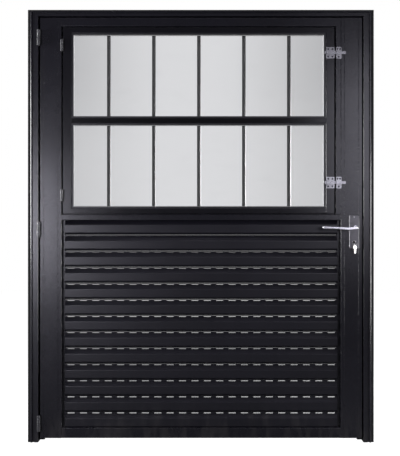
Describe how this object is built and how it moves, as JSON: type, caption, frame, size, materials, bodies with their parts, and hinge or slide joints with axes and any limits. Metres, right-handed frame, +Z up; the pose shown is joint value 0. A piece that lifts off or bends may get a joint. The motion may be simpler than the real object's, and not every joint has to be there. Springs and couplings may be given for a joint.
{
  "type": "metal stable door with opening glazed hatch",
  "caption": "Inward-opening black metal door in its frame: louvred lower half, glazed hatch above with its own hinges and sliding bolts, grille bars behind it, lever lock.",
  "frame": {"origin": "floor level below the middle of the leaf: centre of the box's base", "axes": "+Z up, -Y towards the room side from which the picture is taken, +X to the lock side"},
  "size_m": [1.68, 0.156, 2.1],
  "materials": {
    "frame_black": "black powder coat, satin",
    "leaf_black": "black powder coat, satin",
    "sash_black": "black powder coat, satin",
    "slat_black": "black powder coat, satin",
    "grille_black": "black powder coat, satin",
    "bead_black": "black powder coat, satin",
    "seal_rubber": "dull",
    "clear_glass": "clear",
    "hinge_steel": "black paint, worn bright on the knuckles",
    "bolt_zinc": "bright zinc plate",
    "plate_steel": "brushed",
    "lever_chrome": "polished",
    "lock_steel": "brushed",
    "case_steel": "plain zinc plate",
    "cylinder_nickel": "satin nickel",
    "key_nickel": "nickel plate"
  },
  "bodies": {
    "frame": {"frame_jamb_left": "frame_black", "frame_jamb_right": "frame_black", "frame_head": "frame_black", "frame_seal": "seal_rubber", "strike_plate": "lock_steel", "frame_hinges": "hinge_steel"},
    "leaf": {"leaf_stile_left": "leaf_black", "leaf_stile_right": "leaf_black", "leaf_top_rail": "leaf_black", "leaf_mid_rail": "leaf_black", "leaf_bottom_rail": "leaf_black", "slat_01": "slat_black", "slat_02": "slat_black", "slat_03": "slat_black", "slat_04": "slat_black", "slat_05": "slat_black", "slat_06": "slat_black", "slat_07": "slat_black", "slat_08": "slat_black", "slat_09": "slat_black", "slat_10": "slat_black", "slat_11": "slat_black", "slat_12": "slat_black", "slat_13": "slat_black", "grille_bar_1": "grille_black", "grille_bar_2": "grille_black", "grille_bar_3": "grille_black", "grille_bar_4": "grille_black", "grille_bar_5": "grille_black", "leaf_hinges": "hinge_steel", "keeper_strip": "leaf_black", "sash_hinge_brackets": "hinge_steel", "bolt_keepers": "bolt_zinc", "lock_case": "case_steel", "lock_faceplate": "lock_steel", "handle_plate_inside": "plate_steel", "handle_plate_outside": "plate_steel", "cylinder_body": "cylinder_nickel"},
    "sash": {"sash_stile_left": "sash_black", "sash_stile_right": "sash_black", "sash_top_rail": "sash_black", "sash_bottom_rail": "sash_black", "sash_transom": "sash_black", "glass_lower": "clear_glass", "glass_upper": "clear_glass", "glazing_beads": "bead_black", "sash_hinge_knuckles": "hinge_steel", "bolt_bases": "bolt_zinc"},
    "upper_bolt": {"sash_bolt_upper": "bolt_zinc"},
    "lower_bolt": {"sash_bolt_lower": "bolt_zinc"},
    "lever": {"lever_inside": "lever_chrome", "lever_outside": "lever_chrome", "lever_spindle": "case_steel", "lock_follower": "case_steel"},
    "latch": {"latch_bolt": "case_steel"},
    "dead_bolt": {"dead_bolt": "case_steel"},
    "plug": {"cylinder_plug": "cylinder_nickel", "door_key": "key_nickel"},
    "keys": {"key_ring": "key_nickel", "spare_key": "key_nickel"}
  },
  "joints": [
    {"name": "leaf_swing", "type": "hinge", "parent": "frame", "child": "leaf", "pos_m": [-0.7855, -0.0375, 0], "axis": [0, 0, -1], "range_deg": [0, 110]},
    {"name": "sash_swing", "type": "hinge", "parent": "leaf", "child": "sash", "pos_m": [-0.6735, -0.034, 0], "axis": [0, 0, -1], "range_deg": [0, 100]},
    {"name": "upper_bolt_slide", "type": "slide", "parent": "sash", "child": "upper_bolt", "axis": [-1, 0, 0], "range_m": [0, 0.052]},
    {"name": "lower_bolt_slide", "type": "slide", "parent": "sash", "child": "lower_bolt", "axis": [-1, 0, 0], "range_m": [0, 0.052]},
    {"name": "lever_turn", "type": "hinge", "parent": "leaf", "child": "lever", "pos_m": [0.7435, 0, 1.043], "axis": [0, -1, 0], "range_deg": [0, 45], "stiffness_Nm_per_rad": 1.5, "springref_deg": -29.79},
    {"name": "latch_slide", "type": "slide", "parent": "leaf", "child": "latch", "axis": [-1, 0, 0], "range_m": [0, 0.011]},
    {"name": "key_turn", "type": "hinge", "parent": "leaf", "child": "plug", "pos_m": [0.7435, 0, 0.973], "axis": [0, 1, 0], "range_deg": [0, 360]},
    {"name": "dead_bolt_slide", "type": "slide", "parent": "leaf", "child": "dead_bolt", "axis": [1, 0, 0], "range_m": [0, 0.02]},
    {"name": "ring_swing", "type": "hinge", "parent": "plug", "child": "keys", "pos_m": [0.7435, -0.057, 0.971], "axis": [1, 0, 0], "range_deg": [-60, 10]}
  ],
  "couplings": [
    {"joint": "latch_slide", "follows": "lever_turn", "m_per_rad": 0.014},
    {"joint": "dead_bolt_slide", "follows": "key_turn", "m_per_rad": 0.003183}
  ]
}
